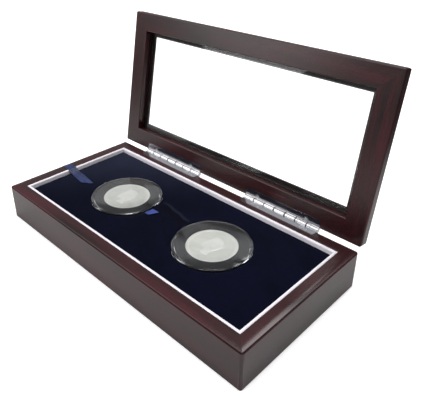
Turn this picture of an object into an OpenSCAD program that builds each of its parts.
// Wooden presentation case for two encapsulated coins.
// A mitred base holds a velvet-covered insert with two round wells.
// The glazed lid swings on two long knuckled stop hinges and rests past upright.
// Origin: centre of the underside. Front is -Y, the hinges are at +Y, up is +Z.

/* [Base] */
// Outside width of the case, along its front
case_w = 208; // [190:1:260]
// Outside depth of the case, front to back
case_d = 101; // [92:1:140]
// Height of the base, underside to rim
base_h = 24.2; // [22:0.1:34]
// Thickness of the four base walls
wall_t = 8.2; // [7:0.1:11]
// Width of the ledge cut round the rim's outer edge
ledge_w = 0.7; // [0.3:0.1:1.2]
// Depth of that ledge below the rim
ledge_drop = 1.2; // [0.9:0.1:2]
// Width over which the rim curves down towards the ledge
crown_run = 3.2; // [2:0.1:5]
// Fall of that curve
crown_drop = 0.45; // [0.3:0.05:0.8]
// Radius of the upright outer corners
corner_r = 2; // [0.4:0.1:3]
// Radius of the bottom outer edge
foot_r = 0.6; // [0.2:0.1:1.5]

/* [Bottom] */
// Thickness of the bottom panel
panel_t = 3; // [2:0.1:5]
// How far the panel reaches into the walls' rebate
rebate_w = 4; // [2:0.1:5]
// Thickness of the felt under the panel
felt_t = 0.8; // [0.5:0.1:2]
// Gap between the panel's edge and the end of its rebate
panel_clear = 0.15; // [0.05:0.05:0.5]

/* [Lining and insert] */
// Thickness of the velvet-wrapped lining strips
lining_t = 2; // [1.2:0.1:3]
// Depth of the lining's top edge below the rim
lining_drop = 0.1; // [0:0.1:1]
// Radius along the lining's two top edges
lining_r = 0.8; // [0.3:0.1:1]
// Depth of the insert's top below the rim
insert_drop = 2.6; // [1.5:0.1:5]
// Gap between the insert and the lining
insert_clear = 0.3; // [0.1:0.05:0.6]
// Thickness of the velvet on the insert
velvet_t = 0.7; // [0.4:0.1:1.2]
// Radius of the insert's upper outer edge
insert_r = 0.6; // [0.2:0.1:0.6]
// Radius of the velvet round the mouth of each well
mouth_r = 0.5; // [0.2:0.05:0.6]

/* [Capsules and coins] */
// Distance between the two capsules' centres
capsule_pitch = 78; // [70:0.5:90]
// Diameter of a capsule
capsule_d = 47.5; // [44:0.1:52]
// Thickness of a closed capsule
capsule_h = 6; // [5.6:0.1:7]
// Thickness of a capsule's clear walls
capsule_wall = 1; // [0.8:0.05:1.4]
// Thickness of a capsule's clear faces
capsule_face = 1.1; // [0.8:0.05:1.4]
// Height of the split line above the capsule's underside
capsule_split = 3.3; // [2.8:0.1:3.8]
// Depth to which the cover's inner skirt plugs into the base
skirt_plug = 1.2; // [0.8:0.1:1.4]
// Thickness of that skirt
skirt_t = 0.8; // [0.5:0.05:1]
// Gap between the skirt and the base's wall
skirt_gap = 0.05; // [0.03:0.01:0.15]
// Gap at the seam of a closed capsule
seam = 0.1; // [0.05:0.05:0.2]
// Radius of a capsule's outer edges
capsule_edge_r = 0.4; // [0.2:0.1:0.8]
// Height by which a capsule stands above the insert
capsule_proud = 0.8; // [0:0.1:1.5]
// Radial gap between a capsule and its well
well_clear = 0.4; // [0.3:0.05:0.8]
// Gap under a capsule, above the well's velvet
seat_gap = 0.3; // [0.2:0.05:0.4]
// Diameter of a coin
coin_d = 30.6; // [24:0.1:38]
// Thickness of a coin at its rim
coin_t = 2.2; // [1.4:0.05:2.6]
// Width of a coin's raised rim
coin_rim_w = 1.1; // [0.5:0.1:2]
// Height of that rim above the coin's field
coin_rim_h = 0.25; // [0.1:0.05:0.4]
// Gap between a coin and the foam ring round it
coin_clear = 0.05; // [0.02:0.01:0.2]
// Gap between the foam ring and the capsule's parts
ring_clear = 0.1; // [0.05:0.01:0.2]
// Depth of the coin's face below the ring's face
coin_sink = 0.4; // [0:0.1:0.6]

/* [Ribbons] */
// Width of both ribbons
ribbon_w = 6.4; // [4:0.1:10]
// Thickness of both ribbons
ribbon_t = 0.3; // [0.2:0.05:0.4]
// Distance of the insert's ribbon in front of the capsules' centres
insert_ribbon_off = 7; // [0:0.5:20]
// Length of the insert's ribbon that lies on the velvet
insert_ribbon_len = 15.5; // [6:0.5:18]
// Length over which it slopes down from the lining to the velvet
slope_len = 6; // [4:0.5:10]
// Distance of the left capsule's ribbon in front of its centre
capsule_ribbon_off = 2.2; // [0:0.1:8]
// Reach of that ribbon past the capsule's centre, under the capsule
capsule_ribbon_reach = 10; // [0:1:16]
// Gap round it in its channel
ribbon_clear = 0.2; // [0.1:0.05:0.4]
// Length of its tab on the velvet
tab_len = 5.6; // [3:0.1:8]
// Rise of the tab's free end
tab_rise = 0.5; // [0:0.1:0.5]
// Gap between the insert's ribbon and the rim below it
ribbon_seat = 0.03; // [0.02:0.01:0.1]

/* [Lid] */
// Thickness of the lid frame
lid_t = 8; // [7:0.1:11]
// Width of the lid's rails on the inner face
rail_w = 13; // [10:0.1:16]
// Width of the lip that holds the glass
lip_w = 3.7; // [2.5:0.1:5]
// Thickness of that lip
lip_t = 1.5; // [1.2:0.1:2.5]
// Radius of the rails' inner edge on the lid's face
rail_in_r = 0.5; // [0.2:0.1:1]
// Radius of the lip's outer edge at the window
lip_r = 0.8; // [0.3:0.1:1]
// Radius of the lid's upper outer edge
lid_top_r = 3; // [1:0.1:4]
// Radius of the lid's lower outer edge
lid_edge_r = 0.7; // [0.3:0.1:1]
// Thickness of the glass
glass_t = 1.6; // [1.2:0.1:2.2]
// Gap between the glass and the rails
glass_clear = 0.3; // [0.1:0.05:0.6]
// Thickness of the glazing tape
tape_t = 0.3; // [0.1:0.05:0.6]
// Width of the glazing tape
tape_w = 2.4; // [1.5:0.1:3]
// Gap between rim and lid when closed
lid_gap = 0.8; // [0.7:0.05:1.2]
// Opening angle at which the stop heels meet the back wall
open_angle = 100; // [92:1:105]

/* [Hinges] */
// Distance from the ends of the case to the hinges
hinge_in = 27; // [20:1:30]
// Length of a hinge
hinge_len = 56; // [40:1:70]
// Number of knuckles on a hinge, an odd number
knuckles = 7; // [5:2:9]
// Length of each of the two outer knuckles
end_knuckle = 5.2; // [4:0.1:7]
// Radius of the barrel
barrel_r = 1.5; // [1.3:0.05:1.7]
// Distance of the hinge axis behind the back of the case
axis_out = 1; // [0.9:0.05:1.3]
// Gap round the barrel in its groove
barrel_gap = 0.1; // [0.1:0.05:0.2]
// Gap between neighbouring knuckles
knuckle_gap = 0.15; // [0.1:0.05:0.3]
// Radius of the hinge pin
pin_r = 0.8; // [0.5:0.05:0.9]
// Running gap round the pin
pin_clear = 0.03; // [0.02:0.01:0.1]
// Thickness of a hinge leaf
leaf_t = 0.9; // [0.6:0.05:1.1]
// Width of a leaf, from the back of the case
leaf_w = 4.6; // [4:0.1:6]
// Radius of a leaf's outer corners
leaf_r = 2; // [0.5:0.1:3]
// Depth to which a leaf is let into the wood
leaf_sink = 0.65; // [0.6:0.05:0.85]
// Gap round a leaf in its recess
leaf_clear = 0.1; // [0.05:0.05:0.3]
// Length of the stop heel below the hinge axis
heel_len = 3; // [2.6:0.1:3.4]
// Gap between the stop heel and the back wall when open
heel_gap = 0.03; // [0.02:0.01:0.08]

/* [Screws] */
// Distance between the two screws of a leaf
screw_pitch = 36.8; // [20:0.1:44]
// Distance of the screws from the back of the case
screw_in = 2.5; // [2.2:0.1:3]
// Diameter of a screw head
head_d = 2.8; // [2:0.1:3.2]
// Depth of a screw's countersunk head
head_h = 0.7; // [0.5:0.05:0.8]
// Diameter of a screw's shank
shank_d = 1.4; // [1:0.1:1.8]
// Length of a screw
screw_len = 6; // [4:0.1:6.5]
// Gap round a screw
screw_clear = 0.05; // [0.02:0.01:0.1]
// Width of the slots of a screw's cross recess
slot_w = 0.35; // [0.2:0.05:0.6]
// Depth of that recess
slot_h = 0.4; // [0.2:0.05:0.5]

/* [Hidden] */
$fn = 96;

// Small overlap used only inside cuts
cut = 1;

wood = [0.22, 0.10, 0.10];
white_velvet = [0.91, 0.89, 0.93];
navy = [0.08, 0.10, 0.20];
blue = [0.25, 0.33, 0.66];
clear = [0.85, 0.9, 0.95, 0.35];
foam = [0.12, 0.12, 0.13];
silver = [0.82, 0.82, 0.79];
nickel = [0.8, 0.8, 0.82];
board = [0.55, 0.45, 0.35];

// Heights in the base
panel_z = felt_t;
floor_z = felt_t + panel_t;
insert_z = base_h - insert_drop;
lining_z = base_h - lining_drop;
capsule_z = insert_z + capsule_proud - capsule_h;
well_floor_z = capsule_z - seat_gap;

// Plan sizes in the base
inner_w = case_w - 2 * wall_t;
inner_d = case_d - 2 * wall_t;
insert_w = inner_w - 2 * lining_t - 2 * insert_clear;
insert_d = inner_d - 2 * lining_t - 2 * insert_clear;
capsule_r = capsule_d / 2;
well_r = capsule_r + well_clear;
capsule_x = capsule_pitch / 2;

// Inside the capsules
ring_outer_r = capsule_r - capsule_wall - skirt_gap - skirt_t - ring_clear;
ring_inner_r = coin_d / 2 + coin_clear;
ring_z = capsule_face + ring_clear;
ring_top = capsule_h - capsule_face - ring_clear;
coin_z = ring_top - coin_sink - coin_t;

// The closed lid
lid_z = base_h + lid_gap;
glass_z = lid_z + lid_t - lip_t - tape_t - glass_t;

// The hinge axis
axis_y = case_d / 2 + axis_out;
axis_z = base_h + lid_gap / 2;
hinge_x = (case_w - hinge_len) / 2 - hinge_in;
groove_r = barrel_r + barrel_gap;
plate_back = axis_y - groove_r;

// Overlap of a knuckle's tongue with its leaf
tongue_lap = 0.3;
inner_knuckle = (hinge_len - 2 * end_knuckle) / (knuckles - 2);

// The rim's curve, an arc that is level at its inner end
crown_r = (crown_run * crown_run + crown_drop * crown_drop) / (2 * crown_drop);
crown_in = ledge_w + crown_run;

// The ribbon's channel in the left well
channel_r = well_r + ribbon_t + ribbon_clear;
channel_inner = capsule_ribbon_reach + ribbon_clear;
channel_depth = ribbon_t + ribbon_clear / 2;
channel_w = ribbon_w + 2 * ribbon_clear;

// Places a shape drawn as part of the closed lid where the open lid has it
module swing() {
    translate([0, axis_y, axis_z])
        rotate([-open_angle, 0, 0])
            translate([0, -axis_y, -axis_z])
                children();
}

// Square corner left outside a quarter round, for rounding an edge at the origin
module edge_waste(r) {
    difference() {
        translate([-cut, -cut])
            square(r + cut);
        translate([r, r])
            circle(r);
    }
}

// Rectangle with round corners, centred
module rounded_plate(w, d, r) {
    square([w - 2 * r, d], center = true);
    square([w, d - 2 * r], center = true);
    for (sx = [-1, 1], sy = [-1, 1])
        translate([sx * (w / 2 - r), sy * (d / 2 - r)])
            circle(r);
}

// One mitred side of a frame w by d: side 0 front, 1 right, 2 rear, 3 left.
// The child is its section, x running inwards from the outer face and y upwards.
module frame_side(w, d, side, depth, height) {
    along = side % 2 == 0 ? w : d;
    off = (side % 2 == 0 ? d : w) / 2;
    rotate([0, 0, 90 * side])
        intersection() {
            translate([-along / 2, -off, 0])
                rotate([90, 0, 90])
                    linear_extrude(height = along)
                        children();
            linear_extrude(height = height)
                polygon([
                    [-along / 2, -off], [along / 2, -off],
                    [along / 2 - depth, depth - off], [depth - along / 2, depth - off]
                ]);
        }
}

// Base

module wall_section() {
    difference() {
        union() {
            square([wall_t, base_h - ledge_drop]);
            translate([crown_in, 0])
                square([wall_t - crown_in, base_h]);
            intersection() {
                translate([ledge_w, 0])
                    square([crown_run, base_h]);
                translate([crown_in, base_h - crown_r])
                    circle(crown_r, $fn = 360);
            }
        }
        edge_waste(foot_r);
        translate([wall_t - rebate_w, -cut])
            square([rebate_w + cut, floor_z + cut]);
    }
}

module base_wall(side) {
    color(wood)
        intersection() {
            frame_side(case_w, case_d, side, wall_t, base_h)
                wall_section();
            linear_extrude(height = base_h)
                rounded_plate(case_w, case_d, corner_r);
        }
}

module front_wall() {
    base_wall(0);
}

module right_wall() {
    base_wall(1);
}

module left_wall() {
    base_wall(3);
}

module rear_wall() {
    color(wood)
        difference() {
            base_wall(2);
            for (side = [-1, 1])
                translate([side * hinge_x, 0, 0]) {
                    leaf_recess(base_h - leaf_sink);
                    screw_holes(base_h - leaf_sink, -1);
                    barrel_groove();
                }
        }
}

module bottom_panel() {
    w = inner_w + 2 * (rebate_w - panel_clear);
    d = inner_d + 2 * (rebate_w - panel_clear);
    color(board)
        translate([-w / 2, -d / 2, panel_z])
            cube([w, d, panel_t]);
}

module base_felt() {
    w = inner_w + 2 * (rebate_w - panel_clear);
    d = inner_d + 2 * (rebate_w - panel_clear);
    color(navy)
        translate([-w / 2, -d / 2, 0])
            cube([w, d, felt_t]);
}

// Lining strips and insert

module lining_section() {
    difference() {
        square([lining_t, lining_z - floor_z]);
        translate([0, lining_z - floor_z])
            mirror([0, 1])
                edge_waste(lining_r);
        translate([lining_t, lining_z - floor_z])
            mirror([1, 0])
                mirror([0, 1])
                    edge_waste(lining_r);
    }
}

module lining(side) {
    color(white_velvet)
        translate([0, 0, floor_z])
            frame_side(inner_w, inner_d, side, lining_t, lining_z - floor_z)
                lining_section();
}

module front_lining() {
    lining(0);
}

module right_lining() {
    lining(1);
}

module rear_lining() {
    lining(2);
}

module left_lining() {
    lining(3);
}

// Both wells and the ribbon's channel, grown by a margin on every side
module wells(grow) {
    for (side = [-1, 1])
        translate([side * capsule_x, 0, well_floor_z - grow])
            cylinder(r = well_r + grow, h = insert_drop + capsule_h + cut);
    translate([
        -capsule_x - channel_inner - grow,
        -capsule_ribbon_off - channel_w / 2 - grow,
        well_floor_z - channel_depth - grow
    ])
        cube([
            channel_r + channel_inner + 2 * grow,
            channel_w + 2 * grow,
            insert_drop + capsule_h + cut
        ]);
}

module insert_core() {
    w = insert_w - 2 * velvet_t;
    d = insert_d - 2 * velvet_t;
    color(board)
        difference() {
            translate([-w / 2, -d / 2, floor_z])
                cube([w, d, insert_z - velvet_t - floor_z]);
            wells(velvet_t);
        }
}

module velvet_cover() {
    color(navy)
        difference() {
            intersection() {
                translate([-insert_w / 2, -insert_d / 2, floor_z])
                    cube([insert_w, insert_d, insert_z - floor_z]);
                // Soft upper edges, one long round each way
                translate([-insert_w / 2, 0, 0])
                    rotate([90, 0, 90])
                        linear_extrude(height = insert_w)
                            insert_outline(insert_d);
                translate([0, insert_d / 2, 0])
                    rotate([90, 0, 0])
                        linear_extrude(height = insert_d)
                            insert_outline(insert_w);
            }
            difference() {
                translate([velvet_t - insert_w / 2, velvet_t - insert_d / 2, floor_z - cut])
                    cube([
                        insert_w - 2 * velvet_t,
                        insert_d - 2 * velvet_t,
                        insert_z - velvet_t - floor_z + cut
                    ]);
                wells(velvet_t);
            }
            wells(0);
            well_mouths();
        }
}

// What the velvet's round takes off the upper edge of each well
module well_mouths() {
    for (side = [-1, 1])
        translate([side * capsule_x, 0, insert_z])
            rotate_extrude()
                translate([well_r, 0])
                    mirror([0, 1])
                        edge_waste(mouth_r);
}

module insert_outline(w) {
    difference() {
        translate([-w / 2, floor_z])
            square([w, insert_z - floor_z]);
        for (side = [0, 1])
            mirror([side, 0])
                translate([-w / 2, insert_z])
                    mirror([0, 1])
                        edge_waste(insert_r);
    }
}

// Ribbons, each a middle line of points in the X-Z plane with its thickness added

// Height of the rim at a distance inwards from the outer face
function rim_z(a) = a >= crown_in
    ? base_h
    : base_h - crown_r + sqrt(crown_r * crown_r - (crown_in - a) * (crown_in - a));

rim_steps = 6;
tab_steps = 4;
half_t = ribbon_t / 2;
rim_seat = half_t + ribbon_seat;
ribbon_floor_z = well_floor_z - channel_depth + half_t;
ribbon_top_z = insert_z + half_t;
tab_x = well_r + ribbon_clear / 2 + half_t - capsule_x;
lining_x = wall_t + lining_t - case_w / 2;

// From the rim's outer edge over the lining to the velvet
insert_ribbon_path = [
    for (i = [0 : rim_steps])
        let (a = ledge_w + crown_run * i / rim_steps)
            [a - case_w / 2, rim_z(a) + rim_seat],
    [wall_t - case_w / 2, base_h + rim_seat],
    [lining_x, base_h - lining_drop + rim_seat],
    [lining_x + slope_len, ribbon_top_z],
    [lining_x + slope_len + insert_ribbon_len, ribbon_top_z]
];

// From under the left capsule up the side of its well to a tab on the velvet
capsule_ribbon_path = [
    [-capsule_x - capsule_ribbon_reach, ribbon_floor_z],
    [tab_x, ribbon_floor_z],
    for (i = [0 : tab_steps])
        let (s = i / tab_steps)
            [tab_x + tab_len * s, ribbon_top_z + tab_rise * s * s]
];

function unit(v) = v / norm(v);
function left_of(v) = [-v[1], v[0]];

// Side step at point i of a path, so that the band keeps its thickness at corners
function side_step(path, i, h) =
    let (
        last = len(path) - 1,
        before = left_of(unit(path[max(i, 1)] - path[max(i, 1) - 1])),
        after = left_of(unit(path[min(i, last - 1) + 1] - path[min(i, last - 1)]))
    )
    h * (before + after) / (1 + before * after);

module band(path, thickness) {
    polygon(concat(
        [for (i = [0 : len(path) - 1]) path[i] + side_step(path, i, thickness / 2)],
        [for (i = [len(path) - 1 : -1 : 0]) path[i] - side_step(path, i, thickness / 2)]
    ));
}

module ribbon(path, off) {
    color(blue)
        translate([0, ribbon_w / 2 - off, 0])
            rotate([90, 0, 0])
                linear_extrude(height = ribbon_w)
                    band(path, ribbon_t);
}

module insert_ribbon() {
    ribbon(insert_ribbon_path, insert_ribbon_off);
}

module capsule_ribbon() {
    ribbon(capsule_ribbon_path, capsule_ribbon_off);
}

// Capsules, each drawn about its own axis with its underside at zero

module capsule_at(side) {
    translate([side * capsule_x, 0, capsule_z])
        children();
}

module capsule_base() {
    color(clear)
        rotate_extrude()
            difference() {
                square([capsule_r, capsule_split]);
                translate([0, capsule_face])
                    square([capsule_r - capsule_wall, capsule_split]);
                translate([capsule_r, 0])
                    mirror([1, 0])
                        edge_waste(capsule_edge_r);
            }
}

module capsule_cover() {
    skirt_r = capsule_r - capsule_wall - skirt_gap;
    color(clear)
        rotate_extrude()
            difference() {
                union() {
                    translate([0, capsule_split + seam])
                        square([capsule_r, capsule_h - capsule_split - seam]);
                    translate([0, capsule_split - skirt_plug])
                        square([skirt_r, skirt_plug + seam]);
                }
                translate([0, -cut])
                    square([skirt_r - skirt_t, capsule_h - capsule_face + cut]);
                translate([capsule_r, capsule_h])
                    mirror([1, 0])
                        mirror([0, 1])
                            edge_waste(capsule_edge_r);
            }
}

module capsule_ring() {
    color(foam)
        rotate_extrude()
            translate([ring_inner_r, ring_z])
                square([ring_outer_r - ring_inner_r, ring_top - ring_z]);
}

module coin() {
    r = coin_d / 2;
    color(silver)
        translate([0, 0, coin_z])
            rotate_extrude()
                difference() {
                    square([r, coin_t]);
                    for (z = [-cut, coin_t - coin_rim_h])
                        translate([-cut, z])
                            square([r - coin_rim_w + cut, coin_rim_h + cut]);
                }
}

module left_capsule_base() {
    capsule_at(-1) capsule_base();
}

module left_capsule_cover() {
    capsule_at(-1) capsule_cover();
}

module left_capsule_ring() {
    capsule_at(-1) capsule_ring();
}

module left_coin() {
    capsule_at(-1) coin();
}

module right_capsule_base() {
    capsule_at(1) capsule_base();
}

module right_capsule_cover() {
    capsule_at(1) capsule_cover();
}

module right_capsule_ring() {
    capsule_at(1) capsule_ring();
}

module right_coin() {
    capsule_at(1) coin();
}

// Lid

module rail_section() {
    difference() {
        union() {
            square([rail_w, lid_t]);
            translate([0, lid_t - lip_t])
                square([rail_w + lip_w, lip_t]);
        }
        edge_waste(lid_edge_r);
        translate([rail_w, 0])
            mirror([1, 0])
                edge_waste(rail_in_r);
        translate([0, lid_t])
            mirror([0, 1])
                edge_waste(lid_top_r);
        translate([rail_w + lip_w, lid_t])
            mirror([1, 0])
                mirror([0, 1])
                    edge_waste(lip_r);
    }
}

// A rail of the closed lid
module rail(side) {
    intersection() {
        translate([0, 0, lid_z])
            frame_side(case_w, case_d, side, rail_w + lip_w, lid_t)
                rail_section();
        translate([0, 0, lid_z])
            linear_extrude(height = lid_t)
                rounded_plate(case_w, case_d, corner_r);
    }
}

module lid_front_rail() {
    color(wood)
        swing() rail(0);
}

module lid_right_rail() {
    color(wood)
        swing() rail(1);
}

module lid_left_rail() {
    color(wood)
        swing() rail(3);
}

module lid_rear_rail() {
    color(wood)
        swing()
            difference() {
                rail(2);
                for (side = [-1, 1])
                    translate([side * hinge_x, 0, 0]) {
                        leaf_recess(lid_z - cut);
                        screw_holes(lid_z + leaf_sink, 1);
                        barrel_groove();
                    }
            }
}

module lid_glass() {
    w = case_w - 2 * (rail_w + glass_clear);
    d = case_d - 2 * (rail_w + glass_clear);
    color(clear)
        swing()
            translate([-w / 2, -d / 2, glass_z])
                cube([w, d, glass_t]);
}

module glazing_tape() {
    w = case_w - 2 * (rail_w + glass_clear);
    d = case_d - 2 * (rail_w + glass_clear);
    color(foam)
        swing()
            translate([0, 0, glass_z + glass_t])
                linear_extrude(height = tape_t)
                    difference() {
                        square([w, d], center = true);
                        square([w - 2 * tape_w, d - 2 * tape_w], center = true);
                    }
}

// Hinges, each drawn closed about the plane x = 0 at its middle

// Outline of a leaf in plan: round corners at its inner edge, straight along the barrel
module leaf_outline(grow) {
    back = plate_back;
    r = leaf_r + grow;
    w = hinge_len + 2 * grow;
    front = back - leaf_w - grow;
    translate([-w / 2, front + r])
        square([w, back - front - r]);
    translate([r - w / 2, front])
        square([w - 2 * r, back - front]);
    for (side = [-1, 1])
        translate([side * (w / 2 - r), front + r])
            circle(r);
}

// Recess for a leaf: from z upwards by the depth of the recess plus a margin
module leaf_recess(z) {
    translate([0, 0, z])
        linear_extrude(height = leaf_sink + cut)
            union() {
                leaf_outline(leaf_clear);
                translate([-hinge_len / 2 - leaf_clear, case_d / 2 - cut])
                    square([hinge_len + 2 * leaf_clear, 2 * cut]);
            }
}

// Groove in which the barrel lies and turns, cut into the rim and the lid's rear rail
module barrel_groove() {
    translate([-hinge_len / 2 - leaf_clear, axis_y, axis_z])
        rotate([0, 90, 0])
            cylinder(r = groove_r, h = hinge_len + 2 * leaf_clear);
}

// Pilot holes that run from z into the wood, down for -1 and up for 1
module screw_holes(z, way) {
    for (side = [-1, 1])
        translate([side * screw_pitch / 2, case_d / 2 - screw_in, z])
            scale([1, 1, way])
                translate([0, 0, -cut])
                    cylinder(r = shank_d / 2 + screw_clear, h = screw_len + cut);
}

// Left end of knuckle k
function knuckle_x(k) = k == 0
    ? -hinge_len / 2
    : end_knuckle + (k - 1) * inner_knuckle - hinge_len / 2;
function knuckle_len(k) = k == 0 || k == knuckles - 1 ? end_knuckle : inner_knuckle;

// The knuckles of one leaf: first = 0 for the lid leaf, 1 for the base leaf.
// The child is added to each knuckle's section, drawn about the axis.
module knuckle_row(first, plate_low, heel) {
    for (k = [first : 2 : knuckles - 1]) {
        x0 = knuckle_x(k) + (k == 0 ? 0 : knuckle_gap / 2);
        x1 = knuckle_x(k) + knuckle_len(k) - (k == knuckles - 1 ? 0 : knuckle_gap / 2);
        translate([x0, axis_y, axis_z])
            rotate([90, 0, 90])
                linear_extrude(height = x1 - x0)
                    difference() {
                        union() {
                            circle(barrel_r);
                            translate([-groove_r - tongue_lap, plate_low])
                                square([groove_r + tongue_lap, leaf_t]);
                            if (heel)
                                rotate(open_angle)
                                    translate([heel_gap - axis_out, -heel_len])
                                        square([axis_out - heel_gap, heel_len]);
                        }
                        circle(pin_r + pin_clear);
                    }
    }
}

// Plate of a leaf with its countersunk holes; the heads face up for 1, down for -1
module leaf_plate(z, face) {
    difference() {
        translate([0, 0, z])
            linear_extrude(height = leaf_t)
                leaf_outline(0);
        for (side = [-1, 1])
            translate([side * screw_pitch / 2, case_d / 2 - screw_in, z + leaf_t / 2])
                scale([1, 1, face])
                    translate([0, 0, leaf_t / 2])
                        screw_shape(screw_clear);
    }
}

module base_leaf() {
    low = base_h - leaf_sink;
    color(nickel) {
        leaf_plate(low, 1);
        knuckle_row(1, low - axis_z, false);
    }
}

module lid_leaf() {
    low = lid_z + leaf_sink - leaf_t;
    color(nickel)
        swing() {
            leaf_plate(low, -1);
            knuckle_row(0, low - axis_z, true);
        }
}

module hinge_pin() {
    color(nickel)
        translate([-hinge_len / 2, axis_y, axis_z])
            rotate([0, 90, 0])
                cylinder(r = pin_r, h = hinge_len);
}

module left_hinge_base_leaf() {
    translate([-hinge_x, 0, 0]) base_leaf();
}

module left_hinge_lid_leaf() {
    translate([-hinge_x, 0, 0]) lid_leaf();
}

module left_hinge_pin() {
    translate([-hinge_x, 0, 0]) hinge_pin();
}

module right_hinge_base_leaf() {
    translate([hinge_x, 0, 0]) base_leaf();
}

module right_hinge_lid_leaf() {
    translate([hinge_x, 0, 0]) lid_leaf();
}

module right_hinge_pin() {
    translate([hinge_x, 0, 0]) hinge_pin();
}

// Screws: the head's face at zero, the shank pointing down

module screw_shape(grow) {
    translate([0, 0, -head_h])
        cylinder(r1 = shank_d / 2 + grow, r2 = head_d / 2 + grow, h = head_h);
    translate([0, 0, -head_h - screw_len])
        cylinder(r = shank_d / 2 + grow, h = screw_len + head_h / 2);
}

module screw() {
    point = shank_d;
    difference() {
        union() {
            translate([0, 0, -head_h])
                cylinder(r1 = shank_d / 2, r2 = head_d / 2, h = head_h);
            translate([0, 0, point - screw_len])
                cylinder(r = shank_d / 2, h = screw_len - point - head_h / 2);
            translate([0, 0, -screw_len])
                cylinder(r1 = 0.1, r2 = shank_d / 2, h = point);
        }
        for (turn = [0, 90])
            rotate([0, 0, turn])
                translate([-head_d / 3, -slot_w / 2, -slot_h])
                    cube([2 * head_d / 3, slot_w, slot_h + cut]);
    }
}

module leaf_screws(z, face) {
    for (hinge = [-1, 1], side = [-1, 1])
        translate([hinge * hinge_x + side * screw_pitch / 2, case_d / 2 - screw_in, z])
            scale([1, 1, face])
                screw();
}

module base_leaf_screws() {
    color(nickel)
        leaf_screws(base_h - leaf_sink + leaf_t, 1);
}

module lid_leaf_screws() {
    color(nickel)
        swing() leaf_screws(lid_z + leaf_sink - leaf_t, -1);
}

front_wall();
rear_wall();
left_wall();
right_wall();
bottom_panel();
base_felt();
front_lining();
rear_lining();
left_lining();
right_lining();
insert_core();
velvet_cover();
insert_ribbon();
capsule_ribbon();
left_capsule_base();
left_capsule_cover();
left_capsule_ring();
left_coin();
right_capsule_base();
right_capsule_cover();
right_capsule_ring();
right_coin();
lid_front_rail();
lid_rear_rail();
lid_left_rail();
lid_right_rail();
lid_glass();
glazing_tape();
left_hinge_base_leaf();
left_hinge_lid_leaf();
left_hinge_pin();
right_hinge_base_leaf();
right_hinge_lid_leaf();
right_hinge_pin();
base_leaf_screws();
lid_leaf_screws();
